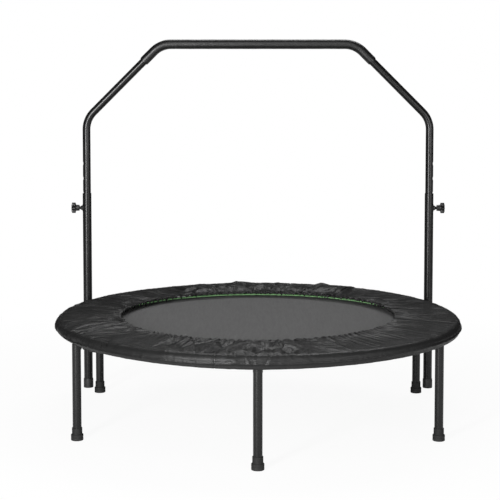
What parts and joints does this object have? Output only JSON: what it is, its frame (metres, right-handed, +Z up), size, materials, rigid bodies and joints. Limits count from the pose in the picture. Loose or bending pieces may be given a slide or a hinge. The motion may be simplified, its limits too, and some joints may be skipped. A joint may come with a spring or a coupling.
{
  "type": "mini trampoline",
  "caption": "Round mini trampoline: fabric jump mat on springs in a tube ring with a skirt, straight legs, and a height-adjustable handle with a foam-covered top bar.",
  "frame": {"origin": "on the floor, under the middle of the frame ring", "axes": "+Z up; +Y towards the handle; +X to the right for someone who stands in front and faces the handle"},
  "size_m": [1.22, 1.22, 1.1415],
  "materials": {
    "coated_steel": "satin black powder coat",
    "foot_rubber": "matte moulded rubber",
    "black_plastic": "fine moulded grain",
    "knob_plastic": "fine moulded grain",
    "zinc_steel": "bright zinc plate",
    "grip_foam": "matte closed-cell foam",
    "mat_weave": "woven polypropylene",
    "edge_webbing": "woven webbing",
    "loop_webbing": "woven webbing",
    "skirt_fabric": "thin coated fabric with a slight shine",
    "elastic_cord": "braided elastic"
  },
  "bodies": {
    "frame": {"frame_arc_front": "coated_steel", "frame_arc_front_right": "coated_steel", "frame_arc_rear_right": "coated_steel", "frame_arc_rear": "coated_steel", "frame_arc_rear_left": "coated_steel", "frame_arc_front_left": "coated_steel", "leg_front": "coated_steel", "leg_front_right": "coated_steel", "leg_rear_right": "coated_steel", "leg_rear": "coated_steel", "leg_rear_left": "coated_steel", "leg_front_left": "coated_steel", "foot_front": "foot_rubber", "foot_front_right": "foot_rubber", "foot_rear_right": "foot_rubber", "foot_rear": "foot_rubber", "foot_rear_left": "foot_rubber", "foot_front_left": "foot_rubber", "arc_screws": "zinc_steel", "leg_screws": "zinc_steel", "left_post": "coated_steel", "right_post": "coated_steel", "left_post_cap": "black_plastic", "right_post_cap": "black_plastic", "post_spacers": "black_plastic", "post_washers": "black_plastic", "post_bolts": "zinc_steel", "post_nuts": "zinc_steel", "springs": "zinc_steel", "skirt_top": "skirt_fabric", "skirt_band": "skirt_fabric", "skirt_inner_elastic": "elastic_cord", "skirt_outer_elastic": "elastic_cord"},
    "handle": {"left_handle_tube": "coated_steel", "right_handle_tube": "coated_steel", "left_tube_plug": "black_plastic", "right_tube_plug": "black_plastic", "top_bar": "coated_steel", "foam_grip": "grip_foam", "handle_joint_screws": "zinc_steel"},
    "left_stud": {"left_knob_stud": "zinc_steel"},
    "left_knob": {"left_knob": "knob_plastic"},
    "right_stud": {"right_knob_stud": "zinc_steel"},
    "right_knob": {"right_knob": "knob_plastic"},
    "mat": {"jump_mat": "mat_weave", "mat_edge_webbing": "edge_webbing", "mat_loops": "loop_webbing", "mat_rings": "zinc_steel"}
  },
  "joints": [
    {"name": "handle_height", "type": "slide", "parent": "frame", "child": "handle", "axis": [0, 0, 1], "range_m": [-0.144, 0.048]},
    {"name": "left_knob_screw", "type": "slide", "parent": "frame", "child": "left_stud", "axis": [1, 0, 0], "range_m": [-0.003, 0.0045]},
    {"name": "left_knob_turn", "type": "hinge", "parent": "left_stud", "child": "left_knob", "pos_m": [-0.55252, 0.319, 0.599], "axis": [1, 0, 0], "range_deg": [-725, 1085]},
    {"name": "right_knob_screw", "type": "slide", "parent": "frame", "child": "right_stud", "axis": [-1, 0, 0], "range_m": [-0.003, 0.0045]},
    {"name": "right_knob_turn", "type": "hinge", "parent": "right_stud", "child": "right_knob", "pos_m": [0.55252, 0.319, 0.599], "axis": [-1, 0, 0], "range_deg": [-725, 1085]},
    {"name": "mat_bounce", "type": "slide", "parent": "frame", "child": "mat", "axis": [0, 0, 1], "range_m": [-0.08, 0], "stiffness_N_per_m": 9000, "springref_m": 0.006, "deforming": ["springs"]}
  ],
  "couplings": [
    {"joint": "left_knob_turn", "follows": "left_knob_screw", "rad_per_m": 4188.8},
    {"joint": "right_knob_turn", "follows": "right_knob_screw", "rad_per_m": 4188.8}
  ]
}
